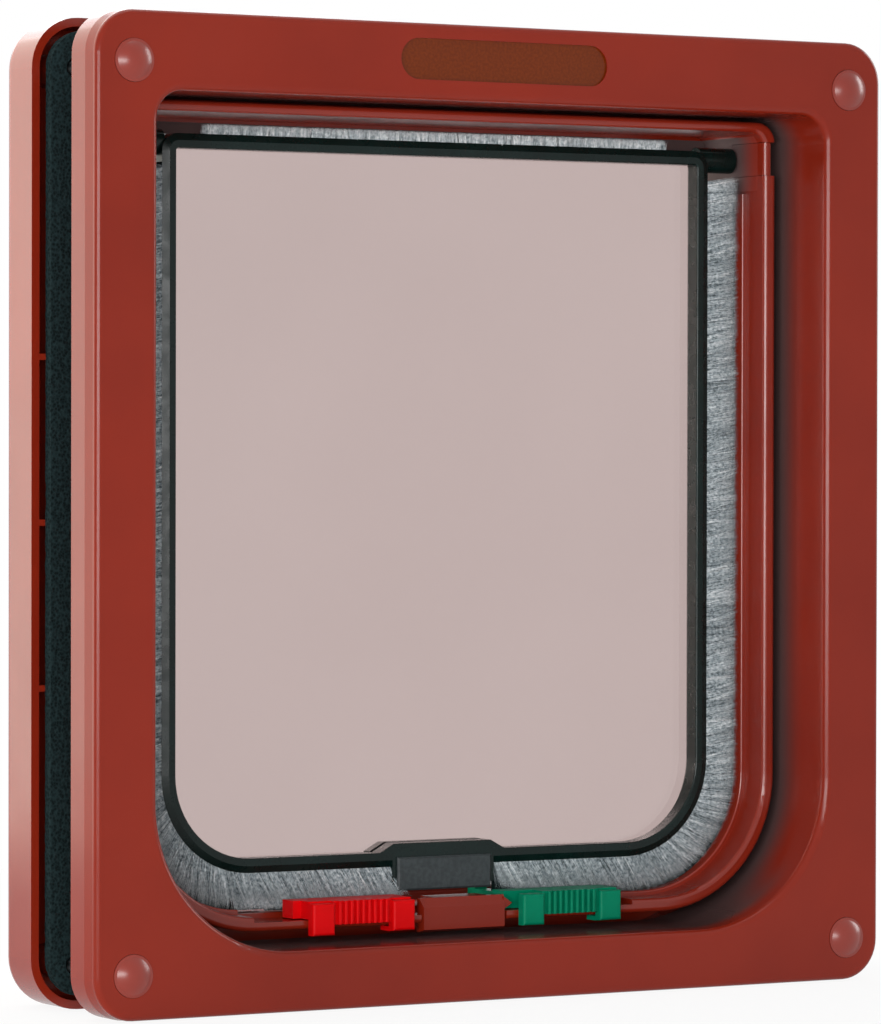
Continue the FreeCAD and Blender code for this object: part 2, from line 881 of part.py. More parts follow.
def lock(side, exit_lock):
    # A slide with two lugs and a ribbed grip in front, hooked round the rail's edge.
    # The tongue points to the left on both locks.
    left = side * lock_centre - lock_width / 2
    right = left + lock_width
    plate_back = tunnel_front_y - lock_clearance
    plate_front = plate_back - lock_plate
    front = tunnel_front_y - lock_front
    body_bottom = rail_top + lock_clearance
    body_top = body_bottom + lock_body_height
    foot_top = rail_bottom - lock_clearance
    foot_bottom = foot_top - lock_foot
    body_back = tunnel_front_y + lock_body_depth
    tongue_front = body_back - tongue_depth
    pieces = []

    # Lugs, the second a little shorter, with a rounded face
    lug_top = body_top - lock_lug_top_drop
    lug_low = rail_bottom - lock_lug_bottom
    lugs = [
        box(left, left + lock_lug_width, front, plate_back, lug_low, lug_top),
        box(right - lock_lug_width, right, front, plate_back, lug_low + lock_lug_step, lug_top),
    ]
    for lug in lugs:
        pieces.append(lug.makeFillet(lock_lug_radius, edges_in_plane(lug, front)))

    # Grip plate with upright ribs between the lugs
    grip_left = left + lock_lug_width
    grip_right = right - lock_lug_width
    grip_low = foot_bottom + lock_grip_lift
    pieces.append(box(grip_left, grip_right, plate_front, plate_back, grip_low, body_top))
    pitch = (grip_right - grip_left - 2 * lock_rib_margin) / (lock_rib_count - 1)
    rib_front = plate_front - lock_rib_height
    half_rib = lock_rib_width / 2
    for index in range(lock_rib_count):
        x = grip_left + lock_rib_margin + index * pitch
        rib = box(x - half_rib, x + half_rib, rib_front, plate_front, grip_low, body_top)
        pieces.append(rib.makeFillet(lock_rib_radius, edges_in_plane(rib, rib_front)))

    # Body over the rail, foot under it behind the right lug, and the tongue
    shoulder = left + lock_lug_width if exit_lock else left
    pieces.append(box(shoulder, right, plate_back, body_back, body_bottom, body_top))
    foot_back = tunnel_front_y + lock_foot_depth
    pieces.append(box(grip_right, right, plate_back, foot_back, foot_bottom, foot_top))
    pieces.append(
        box(left - tongue_length, shoulder, tongue_front, body_back, body_bottom, body_top)
    )
    if exit_lock:
        pieces += rear_stop(left, body_bottom, body_back)
    return pieces[0].fuse(pieces[1:]).removeSplitter()


def rear_stop(left, body_bottom, body_back):
    # A low arm that runs under the flap to a stop behind its magnet.
    arm_left = left
    arm_right = left + stop_width
    arm_top = inner_bottom + brush_floor_gap - stop_arm_drop
    stop_front = flap_front_y - magnet_proud + magnet_depth + stop_gap
    stop_back = stop_front + stop_depth
    stop_top = border_bottom + magnet_rise - magnet_height + stop_rise
    return [
        box(arm_left, arm_right, body_back - overrun, stop_back, body_bottom, arm_top),
        box(arm_left, arm_right, stop_front, stop_back, body_bottom, stop_top),
    ]


def rectangle(half, low, high, y):
    corners = [vector(-half, y, low), vector(half, y, low), vector(half, y, high), vector(-half, y, high)]
    return Part.makePolygon(corners + corners[:1])


def magnet_keeper():
    # The front slopes back all round, most of all at the top.
    half = keeper_width / 2
    start = tunnel_front_y - keeper_front_gap
    back = tunnel_front_y + keeper_plate
    top = inner_bottom + keeper_top_rise
    low = rail_bottom - keeper_bottom_drop
    slope_y = start + keeper_slope_depth
    face = rectangle(half - keeper_bevel, low + keeper_bevel, top - keeper_slope_height, start)
    slope = Part.makeLoft([face, rectangle(half, low, top, slope_y)], True, True)
    plate = box(-half, half, slope_y, back, low, top)
    nib_z = rail_top + keeper_nib
    nib = polygon(
        [
            (half - keeper_bevel, nib_z - keeper_nib + lock_clearance),
            (half + keeper_nib, nib_z),
            (half - keeper_bevel, nib_z + keeper_nib - lock_clearance),
        ],
        start + keeper_bevel,
        tunnel_front_y + keeper_plate / 2,
    )
    housing_half = housing_width / 2
    housing = box(
        -housing_half,
        housing_half,
        back,
        back + housing_depth,
        rail_top,
        top,
    )
    return slope.fuse([plate, nib, housing]).cut(keeper_room(0)).removeSplitter()


def keeper_room(clearance):
    # The room inside the housing, open at the bottom where it stands on the rail.
    half = housing_width / 2 - housing_wall - clearance
    start = tunnel_front_y + keeper_plate + housing_wall + clearance
    stop = tunnel_front_y + keeper_plate + housing_depth - housing_wall - clearance
    top = inner_bottom + keeper_top_rise - housing_wall - clearance
    return box(-half, half, start, stop, rail_top, top)


def save(name, shape):
    shape.exportStep("parts/" + name + ".step")
    print(name, len(shape.Solids), shape.isValid(), round(shape.Volume, 1))


os.makedirs("parts", exist_ok=True)
save("front_frame", front_frame())
save("rear_frame", rear_frame())
save("foam_gasket", foam_gasket())
for place, (place_x, place_z) in screw_places.items():
    save("screw_" + place, screw(place_x, place_z))
    save("screw_cap_" + place, screw_cap(place_x, place_z))
save("hinge_keeper_left", hinge_keeper(-1))
save("hinge_keeper_right", hinge_keeper(1))
save("hinge_pin_left", hinge_pin(-1))
save("hinge_pin_right", hinge_pin(1))
save("flap_panel", flap_panel())
save("flap_border", flap_border())
save("flap_magnet", flap_magnet())
save("brush_left", side_brush(-1))
save("brush_right", side_brush(1))
save("brush_top", top_brush())
save("entry_lock", lock(-1, False))
save("exit_lock", lock(1, True))
save("magnet_keeper", magnet_keeper())
save("frame_magnet", keeper_room(magnet_clearance))
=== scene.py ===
import math
import random

import bmesh
import bpy
from mathutils import Matrix, Vector


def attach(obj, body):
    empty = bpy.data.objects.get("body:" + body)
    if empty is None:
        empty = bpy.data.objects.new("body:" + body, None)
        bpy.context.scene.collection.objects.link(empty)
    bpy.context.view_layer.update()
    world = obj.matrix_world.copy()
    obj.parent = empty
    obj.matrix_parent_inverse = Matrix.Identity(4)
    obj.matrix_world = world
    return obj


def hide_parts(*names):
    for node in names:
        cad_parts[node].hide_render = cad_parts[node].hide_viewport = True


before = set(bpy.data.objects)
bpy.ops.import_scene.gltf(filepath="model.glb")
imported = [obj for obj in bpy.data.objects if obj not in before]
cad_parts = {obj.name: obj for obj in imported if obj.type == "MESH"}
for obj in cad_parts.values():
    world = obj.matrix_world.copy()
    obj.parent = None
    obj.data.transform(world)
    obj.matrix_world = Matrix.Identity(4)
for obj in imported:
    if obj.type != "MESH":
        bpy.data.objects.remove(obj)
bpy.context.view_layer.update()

print("frame loaded:", len(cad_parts), "pieces")


def srgb(red, green, blue):
    # a colour as a picture editor shows it, 0 to 255, turned into Blender's linear one
    channels = []
    for value in (red, green, blue):
        value = value / 255
        channels.append(value / 12.92 if value <= 0.04045 else ((value + 0.055) / 1.055) ** 2.4)
    return (*channels, 1)


# camera at the photograph's viewing angle
camera = {
    "place": (-0.70812, -1.20382, 0.14399),
    "yaw": 30.303,
    "pitch": -0.732,
    "roll": 0.115,
    "lens": 187.18,
    "sensorHeight": 36,
    "nearest": 0.05,
}


def placeCamera(look):
    yaw, pitch, roll = (math.radians(look[key]) for key in ("yaw", "pitch", "roll"))
    level = math.cos(pitch)
    forward = Vector((math.sin(yaw) * level, math.cos(yaw) * level, math.sin(pitch)))
    right = Vector((math.cos(yaw), -math.sin(yaw), 0))
    up = right.cross(forward)
    rightTurned = right * math.cos(roll) + up * math.sin(roll)
    upTurned = up * math.cos(roll) - right * math.sin(roll)
    turn = Matrix((rightTurned, upTurned, -forward)).transposed()
    bpy.ops.object.camera_add(location=look["place"], rotation=turn.to_euler())
    shot = bpy.context.object
    shot.data.sensor_fit = "VERTICAL"
    shot.data.sensor_height = look["sensorHeight"]
    shot.data.lens = look["lens"]
    shot.data.clip_start = look["nearest"]
    bpy.context.scene.camera = shot


placeCamera(camera)
print("camera placed")


# soft boxes: a wide low one in front on the left, a close one behind on the left,
# and one each above, on the right and behind
lamps = {
    "keyBox": {"place": (-1.2, -1.27, 0.2), "aim": (0, 0, 0.13), "size": (1.6, 0.38), "power": 23},
    "sideBox": {
        "place": (-0.33, 0.29, 0.34),
        "aim": (-0.1, 0, 0.13),
        "size": (0.42, 0.84),
        "power": 2.35,
        "tint": (1, 0.98, 0.84),
    },
    "topBox": {"place": (0.1, 0.1, 1.5), "aim": (0, 0, 0.1), "size": (1.0, 1.0), "power": 5},
    "rightBox": {"place": (1.6, -0.1, 0.66), "aim": (0, 0, 0.12), "size": (0.5, 0.9), "power": 9},
    "backFill": {"place": (0.4, 1.9, 1.1), "aim": (0, 0, 0.12), "size": (1.4, 1.0), "power": 12},
}

for lampName, lamp in lamps.items():
    away = Vector(lamp["aim"]) - Vector(lamp["place"])
    bpy.ops.object.light_add(
        type="AREA", location=lamp["place"], rotation=away.to_track_quat("-Z", "Y").to_euler()
    )
    lampObject = bpy.context.object
    lampObject.name = lampName
    lampObject.data.shape = "RECTANGLE"
    lampObject.data.size, lampObject.data.size_y = lamp["size"]
    lampObject.data.energy = lamp["power"]
    lampObject.data.color = lamp.get("tint", (1, 1, 1))

surround = {"seen": 1.0, "light": 0.3}


def seenRays(nodes, links):
    # 1 for camera, glossy and transmission rays, 0 for the rest
    rays = nodes.new("ShaderNodeLightPath")
    first = nodes.new("ShaderNodeMath")
    first.operation = "MAXIMUM"
    links.new(rays.outputs["Is Camera Ray"], first.inputs[0])
    links.new(rays.outputs["Is Glossy Ray"], first.inputs[1])
    second = nodes.new("ShaderNodeMath")
    second.operation = "MAXIMUM"
    links.new(first.outputs[0], second.inputs[0])
    links.new(rays.outputs["Is Transmission Ray"], second.inputs[1])
    return second.outputs[0]


def makeWorld():
    world = bpy.data.worlds.new("studioWorld")
    world.use_nodes = True
    bpy.context.scene.world = world
    nodes, links = world.node_tree.nodes, world.node_tree.links
    nodes.clear()
    light = nodes.new("ShaderNodeBackground")
    light.inputs["Strength"].default_value = surround["light"]
    white = nodes.new("ShaderNodeBackground")
    white.inputs["Strength"].default_value = surround["seen"]
    for ground in (light, white):
        ground.inputs["Color"].default_value = (1, 1, 1, 1)
    mix = nodes.new("ShaderNodeMixShader")
    links.new(seenRays(nodes, links), mix.inputs["Fac"])
    links.new(light.outputs[0], mix.inputs[1])
    links.new(white.outputs[0], mix.inputs[2])
    output = nodes.new("ShaderNodeOutputWorld")
    links.new(mix.outputs[0], output.inputs["Surface"])


makeWorld()
bpy.context.scene.view_settings.view_transform = "Standard"
print("light set")


floorSizes = {"radius": 4.0, "fadeStart": 0.15, "fadeEnd": 0.42, "glow": 0.9, "shade": 0.95}


def makeFloor():
    bpy.ops.object.select_all(action="DESELECT")
    bpy.ops.mesh.primitive_circle_add(vertices=96, radius=floorSizes["radius"], fill_type="NGON")
    floor = bpy.context.object
    floor.name = "studioFloor"
    material = bpy.data.materials.new("paleFloor")
    material.use_nodes = True
    nodes, links = material.node_tree.nodes, material.node_tree.links
    nodes.clear()
    place = nodes.new("ShaderNodeTexCoord")
    distance = nodes.new("ShaderNodeVectorMath")
    distance.operation = "LENGTH"
    links.new(place.outputs["Object"], distance.inputs[0])
    fade = nodes.new("ShaderNodeMapRange")
    fade.interpolation_type = "SMOOTHSTEP"
    fade.inputs["From Min"].default_value = floorSizes["fadeStart"]
    fade.inputs["From Max"].default_value = floorSizes["fadeEnd"]
    fade.inputs["To Min"].default_value = floorSizes["glow"]
    links.new(distance.outputs["Value"], fade.inputs["Value"])
    both = nodes.new("ShaderNodeMath")
    both.operation = "MULTIPLY"
    links.new(fade.outputs["Result"], both.inputs[0])
    links.new(seenRays(nodes, links), both.inputs[1])
    paint = nodes.new("ShaderNodeBsdfDiffuse")
    shade = floorSizes["shade"]
    paint.inputs["Color"].default_value = (shade, shade, shade, 1)
    glow = nodes.new("ShaderNodeEmission")
    mix = nodes.new("ShaderNodeMixShader")
    links.new(both.outputs[0], mix.inputs["Fac"])
    links.new(paint.outputs[0], mix.inputs[1])
    links.new(glow.outputs[0], mix.inputs[2])
    output = nodes.new("ShaderNodeOutputMaterial")
    links.new(mix.outputs[0], output.inputs["Surface"])
    floor.data.materials.append(material)


makeFloor()
print("floor laid")


def startMaterial(name):
    material = bpy.data.materials.new(name)
    material.use_nodes = True
    nodes, links = material.node_tree.nodes, material.node_tree.links
    shader = nodes["Principled BSDF"]
    place = nodes.new("ShaderNodeTexCoord")
    return material, nodes, links, shader, place.outputs["Object"]


def grainNode(nodes, links, place, scale, detail=3, stretch=None):
    grain = nodes.new("ShaderNodeTexNoise")
    grain.inputs["Scale"].default_value = scale
    grain.inputs["Detail"].default_value = detail
    if stretch:
        mapping = nodes.new("ShaderNodeMapping")
        mapping.inputs["Scale"].default_value = stretch
        links.new(place, mapping.inputs["Vector"])
        place = mapping.outputs["Vector"]
    links.new(place, grain.inputs["Vector"])
    return grain.outputs["Fac"]


def rampNode(nodes, links, value, stops):
    ramp = nodes.new("ShaderNodeValToRGB")
    elements = ramp.color_ramp.elements
    while len(elements) < len(stops):
        elements.new(0.5)
    for element, (position, colour) in zip(elements, stops):
        element.position = position
        element.color = colour
    links.new(value, ramp.inputs["Fac"])
    return ramp.outputs["Color"]


def rangeNode(nodes, links, value, low, high, start=0.3, stop=0.7):
    spread = nodes.new("ShaderNodeMapRange")
    spread.inputs["From Min"].default_value = start
    spread.inputs["From Max"].default_value = stop
    spread.inputs["To Min"].default_value = low
    spread.inputs["To Max"].default_value = high
    links.new(value, spread.inputs["Value"])
    return spread.outputs["Result"]


def bumpNode(nodes, links, height, strength, distance, before=None):
    bump = nodes.new("ShaderNodeBump")
    bump.inputs["Strength"].default_value = strength
    bump.inputs["Distance"].default_value = distance
    links.new(height, bump.inputs["Height"])
    if before:
        links.new(before, bump.inputs["Normal"])
    return bump.outputs["Normal"]


def insideNode(nodes, links, value, low, high):
    # 1 where value lies between low and high
    above = nodes.new("ShaderNodeMath")
    above.operation = "GREATER_THAN"
    links.new(value, above.inputs[0])
    above.inputs[1].default_value = low
    below = nodes.new("ShaderNodeMath")
    below.operation = "LESS_THAN"
    links.new(value, below.inputs[0])
    below.inputs[1].default_value = high
    both = nodes.new("ShaderNodeMath")
    both.operation = "MULTIPLY"
    links.new(above.outputs[0], both.inputs[0])
    links.new(below.outputs[0], both.inputs[1])
    return both.outputs[0]


frameLook = {
    "light": srgb(134, 36, 18),
    "dark": srgb(126, 32, 15),
    "recess": srgb(108, 40, 0),
    "recessDark": srgb(98, 35, 0),
    "recessBox": {"X": (-0.0311, 0.0311), "Y": (-0.0245, -0.0241), "Z": (0.2371, 0.2479)},
    # shade: the colour of the painted shade in the slot and under the tunnel ceiling
    "shade": srgb(80, 62, 61),
    "middle": (0, 0, 0.124),
    "rough": (0.17, 0.24),
    "capRough": (0.26, 0.32),
    "frontGloss": 0.22,
    "rearGloss": 0.42,
    "capGloss": 0.6,
    "mattExtra": 0.55,
}
slotBox = {"X": (-0.1008, 0.1008), "Y": (-0.022, 0.012), "Z": (0.015, 0.2326)}
tunnelBox = {"X": (-0.0946, 0.0946), "Y": (-0.0015, 0.0262), "Z": (0.0218, 0.2274)}
mattBoxes = [
    {"X": (-0.0946, 0.0946), "Y": (0.0072, 0.0262), "Z": (0.0218, 0.2274)},
    {"X": (-0.0946, 0.0946), "Y": (-0.0014, 0.0262), "Z": (0.2128, 0.2274)},
]
# painted shade: darker deeper into the slot behind the opening, darker towards the slot's floor, and
# darker towards the tunnel ceiling behind the rim
paintedShadeSpots = {
    "front": [
        {"box": slotBox, "ramps": [("Y", -0.015, -0.002)]},
        {"box": slotBox, "ramps": [("Y", -0.022, -0.016), ("Z", 0.034, 0.018)]},
    ],
    "rear": [{"box": tunnelBox, "ramps": [("Z", 0.2, 0.216), ("Y", -0.001, 0.0085)]}],
}


def boxMask(nodes, links, place, box):
    # 1 inside the box
    axes = nodes.new("ShaderNodeSeparateXYZ")
    links.new(place, axes.inputs[0])
    mask = insideNode(nodes, links, axes.outputs["X"], *box["X"])
    for axis in ("Y", "Z"):
        more = nodes.new("ShaderNodeMath")
        more.operation = "MULTIPLY"
        links.new(mask, more.inputs[0])
        links.new(insideNode(nodes, links, axes.outputs[axis], *box[axis]), more.inputs[1])
        mask = more.outputs[0]
    return mask


def inwardMask(nodes, links, place):
    # 1 where the surface faces the middle of the opening
    outward = nodes.new("ShaderNodeVectorMath")
    outward.operation = "SUBTRACT"
    links.new(place, outward.inputs[0])
    outward.inputs[1].default_value = frameLook["middle"]
    facing = nodes.new("ShaderNodeVectorMath")
    facing.operation = "DOT_PRODUCT"
    links.new(nodes.new("ShaderNodeTexCoord").outputs["Normal"], facing.inputs[0])
    links.new(outward.outputs[0], facing.inputs[1])
    inward = nodes.new("ShaderNodeMath")
    inward.operation = "LESS_THAN"
    links.new(facing.outputs["Value"], inward.inputs[0])
    inward.inputs[1].default_value = 0
    return inward.outputs[0]


def addPaintedShade(nodes, links, place, body, spot):
    # painted shade: the colour darkens towards the shade colour along the axes inside a box, on
    # surfaces that face the middle of the opening
    axes = nodes.new("ShaderNodeSeparateXYZ")
    links.new(place, axes.inputs[0])
    inside = nodes.new("ShaderNodeMath")
    inside.operation = "MULTIPLY"
    links.new(boxMask(nodes, links, place, spot["box"]), inside.inputs[0])
    links.new(inwardMask(nodes, links, place), inside.inputs[1])
    mask = inside.outputs[0]
    for axis, low, high in spot["ramps"]:
        shadeRamp = nodes.new("ShaderNodeMapRange")
        shadeRamp.interpolation_type = "SMOOTHSTEP"
        shadeRamp.inputs["From Min"].default_value = low
        shadeRamp.inputs["From Max"].default_value = high
        links.new(axes.outputs[axis], shadeRamp.inputs["Value"])
        amount = nodes.new("ShaderNodeMath")
        amount.operation = "MULTIPLY"
        links.new(shadeRamp.outputs["Result"], amount.inputs[0])
        links.new(mask, amount.inputs[1])
        mask = amount.outputs[0]
    mix = nodes.new("ShaderNodeMix")
    mix.data_type = "RGBA"
    links.new(mask, mix.inputs["Factor"])
    links.new(body, mix.inputs["A"])
    mix.inputs["B"].default_value = frameLook["shade"]
    return mix.outputs["Result"]


def framePlastic(name, side, gloss, withRecess=False):
    material, nodes, links, shader, place = startMaterial(name)
    cloud = grainNode(nodes, links, place, 22, 4)
    body = rampNode(nodes, links, cloud, [(0.35, frameLook["dark"]), (0.65, frameLook["light"])])
    stipple = grainNode(nodes, links, place, 1400, 3)
    if withRecess:
        stops = [(0.38, frameLook["recessDark"]), (0.62, frameLook["recess"])]
        floorTone = rampNode(nodes, links, stipple, stops)
        mix = nodes.new("ShaderNodeMix")
        mix.data_type = "RGBA"
        links.new(boxMask(nodes, links, place, frameLook["recessBox"]), mix.inputs["Factor"])
        links.new(body, mix.inputs["A"])
        links.new(floorTone, mix.inputs["B"])
        body = mix.outputs["Result"]
    # painted shade in the slot and the tunnel, placed by position
    for spot in paintedShadeSpots.get(side, []):
        body = addPaintedShade(nodes, links, place, body, spot)
    links.new(body, shader.inputs["Base Color"])
    smear = grainNode(nodes, links, place, 60, 5)
    rough = rangeNode(nodes, links, smear, *frameLook["capRough" if side == "cap" else "rough"])
    if side == "rear":
        # matt moulding inside the tunnel
        either = nodes.new("ShaderNodeMath")
        either.operation = "MAXIMUM"
        for index, box in enumerate(mattBoxes):
            links.new(boxMask(nodes, links, place, box), either.inputs[index])
        matt = nodes.new("ShaderNodeMath")
        matt.operation = "MULTIPLY_ADD"
        links.new(either.outputs[0], matt.inputs[0])
        matt.inputs[1].default_value = frameLook["mattExtra"]
        links.new(rough, matt.inputs[2])
        rough = matt.outputs[0]
    links.new(rough, shader.inputs["Roughness"])
    links.new(bumpNode(nodes, links, stipple, 0.08, 0.00002), shader.inputs["Normal"])
    shader.inputs["Specular IOR Level"].default_value = gloss
    return material


blackLook = {"light": srgb(9, 28, 26), "dark": srgb(5, 20, 18), "gloss": 0.22}


def blackPlastic():
    material, nodes, links, shader, place = startMaterial("blackPlastic")
    cloud = grainNode(nodes, links, place, 90, 4)
    links.new(
        rampNode(nodes, links, cloud, [(0.35, blackLook["dark"]), (0.65, blackLook["light"])]),
        shader.inputs["Base Color"],
    )
    smear = grainNode(nodes, links, place, 250, 4)
    links.new(rangeNode(nodes, links, smear, 0.22, 0.34), shader.inputs["Roughness"])
    grit = grainNode(nodes, links, place, 2600, 2)
    links.new(bumpNode(nodes, links, grit, 0.15, 0.00002), shader.inputs["Normal"])
    shader.inputs["Specular IOR Level"].default_value = blackLook["gloss"]
    return material


panelLook = {"tint": srgb(191, 172, 169), "tintDeep": srgb(188, 169, 166)}


def tintedPanel():
    material, nodes, links, shader, place = startMaterial("tintedPanel")
    cloud = grainNode(nodes, links, place, 14, 2)
    links.new(
        rampNode(nodes, links, cloud, [(0.3, panelLook["tintDeep"]), (0.7, panelLook["tint"])]),
        shader.inputs["Base Color"],
    )
    haze = grainNode(nodes, links, place, 45, 3)
    links.new(rangeNode(nodes, links, haze, 0.02, 0.06), shader.inputs["Roughness"])
    ripple = grainNode(nodes, links, place, 30, 1)
    links.new(bumpNode(nodes, links, ripple, 0.08, 0.0002), shader.inputs["Normal"])
    shader.inputs["Transmission Weight"].default_value = 1
    shader.inputs["IOR"].default_value = 1.5
    return material


magnetLook = {"light": srgb(55, 62, 64), "dark": srgb(44, 51, 53), "gloss": 0.3}


def ferrite():
    material, nodes, links, shader, place = startMaterial("ferriteBlock")
    grit = grainNode(nodes, links, place, 1100, 5)
    links.new(
        rampNode(nodes, links, grit, [(0.35, magnetLook["dark"]), (0.65, magnetLook["light"])]),
        shader.inputs["Base Color"],
    )
    smear = grainNode(nodes, links, place, 300, 3)
    links.new(rangeNode(nodes, links, smear, 0.42, 0.6), shader.inputs["Roughness"])
    links.new(bumpNode(nodes, links, grit, 0.3, 0.00005), shader.inputs["Normal"])
    shader.inputs["Specular IOR Level"].default_value = magnetLook["gloss"]
    return material


steelLook = {"light": srgb(198, 200, 202), "dark": srgb(160, 162, 165)}


def zincSteel():
    material, nodes, links, shader, place = startMaterial("zincSteel")
    streak = grainNode(nodes, links, place, 900, 3, (1, 0.12, 1))
    links.new(
        rampNode(nodes, links, streak, [(0.35, steelLook["dark"]), (0.65, steelLook["light"])]),
        shader.inputs["Base Color"],
    )
    links.new(rangeNode(nodes, links, streak, 0.25, 0.42), shader.inputs["Roughness"])
    links.new(bumpNode(nodes, links, streak, 0.2, 0.00003), shader.inputs["Normal"])
    shader.inputs["Metallic"].default_value = 1
    return material


lockLook = {
    "redSlide": (srgb(220, 8, 14), srgb(210, 6, 10)),
    "greenSlide": (srgb(2, 129, 95), srgb(1, 120, 88)),
    "gloss": 0.08,
}


def lockPlastic(name):
    material, nodes, links, shader, place = startMaterial(name)
    light, dark = lockLook[name]
    cloud = grainNode(nodes, links, place, 160, 4)
    links.new(
        rampNode(nodes, links, cloud, [(0.35, dark), (0.65, light)]), shader.inputs["Base Color"]
    )
    smear = grainNode(nodes, links, place, 500, 4)
    links.new(rangeNode(nodes, links, smear, 0.28, 0.42), shader.inputs["Roughness"])
    grit = grainNode(nodes, links, place, 3000, 2)
    links.new(bumpNode(nodes, links, grit, 0.15, 0.00002), shader.inputs["Normal"])
    shader.inputs["Specular IOR Level"].default_value = lockLook["gloss"]
    return material


foamLook = {"light": srgb(29, 45, 47), "dark": srgb(5, 15, 16), "gloss": 0.1}


def cellFoam():
    material, nodes, links, shader, place = startMaterial("cellFoam")
    cells = nodes.new("ShaderNodeTexVoronoi")
    cells.inputs["Scale"].default_value = 1300
    links.new(place, cells.inputs["Vector"])
    stops = [(0.1, foamLook["dark"]), (0.75, foamLook["light"])]
    tone = rampNode(nodes, links, cells.outputs["Distance"], stops)
    links.new(tone, shader.inputs["Base Color"])
    smear = grainNode(nodes, links, place, 400, 3)
    links.new(rangeNode(nodes, links, smear, 0.8, 0.95), shader.inputs["Roughness"])
    links.new(bumpNode(nodes, links, cells.outputs["Distance"], 0.8, 0.0003), shader.inputs["Normal"])
    shader.inputs["Specular IOR Level"].default_value = foamLook["gloss"]
    return material


pileLook = {
    "tones": [
        (0.0, srgb(46, 56, 60)),
        (0.3, srgb(134, 146, 151)),
        (0.6, srgb(186, 196, 200)),
        (1.0, srgb(244, 246, 246)),
    ],
    "gloss": 0.25,
}


def brushPile():
    material, nodes, links, shader, place = startMaterial("brushPile")
    tone = nodes.new("ShaderNodeAttribute")
    tone.attribute_name = "tone"
    fleck = grainNode(nodes, links, place, 1300, 2)
    shift = rangeNode(nodes, links, fleck, -0.26, 0.26)
    total = nodes.new("ShaderNodeMath")
    total.operation = "ADD"
    links.new(tone.outputs["Fac"], total.inputs[0])
    links.new(shift, total.inputs[1])
    links.new(
        rampNode(nodes, links, total.outputs[0], pileLook["tones"]), shader.inputs["Base Color"]
    )
    links.new(rangeNode(nodes, links, fleck, 0.6, 0.8), shader.inputs["Roughness"])
    shader.inputs["Specular IOR Level"].default_value = pileLook["gloss"]
    return material


def dress(material, *names):
    # gives CAD nodes their finish
    for name in names:
        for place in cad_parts[name].material_slots:
            place.material = material


corners = ("top_left", "top_right", "bottom_left", "bottom_right")
frontPaint = framePlastic("frontPlastic", "front", frameLook["frontGloss"], True)
rearPaint = framePlastic("rearPlastic", "rear", frameLook["rearGloss"])
capPaint = framePlastic("capPlastic", "cap", frameLook["capGloss"])
# the keeper takes the front plastic without its painted shade
keeperPaint = framePlastic("keeperPlastic", "keeper", frameLook["frontGloss"])
dress(frontPaint, "front_frame")
dress(keeperPaint, "magnet_keeper")
dress(rearPaint, "rear_frame", "hinge_keeper_left", "hinge_keeper_right")
dress(capPaint, *["screw_cap_" + corner for corner in corners])
borderPaint = blackPlastic()
dress(borderPaint, "flap_border")
dress(tintedPanel(), "flap_panel")
dress(ferrite(), "flap_magnet", "frame_magnet")
dress(zincSteel(), "hinge_pin_left", "hinge_pin_right", *["screw_" + corner for corner in corners])
dress(lockPlastic("redSlide"), "entry_lock")
dress(lockPlastic("greenSlide"), "exit_lock")
foamPaint = cellFoam()
dress(foamPaint, "foam_gasket")
pilePaint = brushPile()
dress(pilePaint, "brush_left", "brush_right", "brush_top")
print("finishes made")


foamSizes = {"voxel": 0.0007, "pores": [(0.0014, 0.00035), (0.005, 0.0002)], "level": 0.62}


def makeFoam():
    bpy.ops.object.select_all(action="DESELECT")
    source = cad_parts["foam_gasket"]
    foam = source.copy()
    foam.data = source.data.copy()
    foam.name = "foamSeal"
    foam.parent = None
    bpy.context.collection.objects.link(foam)
    foam.select_set(True)
    bpy.context.view_layer.objects.active = foam
    bpy.ops.object.mode_set(mode="EDIT")
    bpy.ops.mesh.select_all(action="SELECT")
    bpy.ops.mesh.remove_doubles(threshold=0.00002)
    bpy.ops.mesh.normals_make_consistent(inside=False)
    bpy.ops.object.mode_set(mode="OBJECT")
    remesh = foam.modifiers.new("cells", "REMESH")
    remesh.mode = "VOXEL"
    remesh.voxel_size = foamSizes["voxel"]
    bpy.ops.object.modifier_apply(modifier=remesh.name)
    for index, (size, depth) in enumerate(foamSizes["pores"]):
        texture = bpy.data.textures.new("pores%d" % index, "CLOUDS")
        texture.noise_scale = size
        swell = foam.modifiers.new("swell%d" % index, "DISPLACE")
        swell.texture = texture
        swell.texture_coords = "LOCAL"
        swell.strength = depth
        swell.mid_level = foamSizes["level"]
        bpy.ops.object.modifier_apply(modifier=swell.name)
    foam.data.materials.clear()
    foam.data.materials.append(foamPaint)
    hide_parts("foam_gasket")
    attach(foam, "frames")
    print("foam seal:", len(foam.data.polygons), "faces")


makeFoam()


pile = {
    "half": 0.0831,
    "bottom": 0.0331,
    "cornerRadius": 0.0258,
    "startX": 0.0158,
    "topZ": 0.2152,
    "rootY": (0.0070, 0.0106),
    "fanY": (0.0047, 0.0151),
    "tunnelHalf": 0.0938,
    "tunnelBottom": 0.0227,
    "tunnelRadius": 0.0323,
    "ridgeY": 0.0073,
    "frontGap": 0.0015,
    "backGap": 0.0002,
    "footGap": 0.0022,
    "armX": 0.0210,
    "armGap": 0.0028,
    "sideLean": 11,
    "footLean": 24,
    "clumps": 10500,
    "threadsInClump": 5,
    "rootDepth": 0.0006,
    "thickness": 0.00009,
    "catchX": (-0.0614, -0.0516),
    "catchY": 0.0076,
    "catchTop": 0.05,
    "reach": (0.006, 0.016),
    "reachStep": 0.0002,
    "leanSpread": 5,
    "endLean": 14,
    "endLength": 0.003,
    "fanSpread": 0.1,
    "rootSpread": 0.00022,
    "depthSpread": 0.06,
    "shortest": 0.86,
    "tipSpread": 0.0005,
    "tipDepthSpread": 0.0004,
    "clumpTone": (0.52, 0.15),
    "toneSpread": 0.14,
}


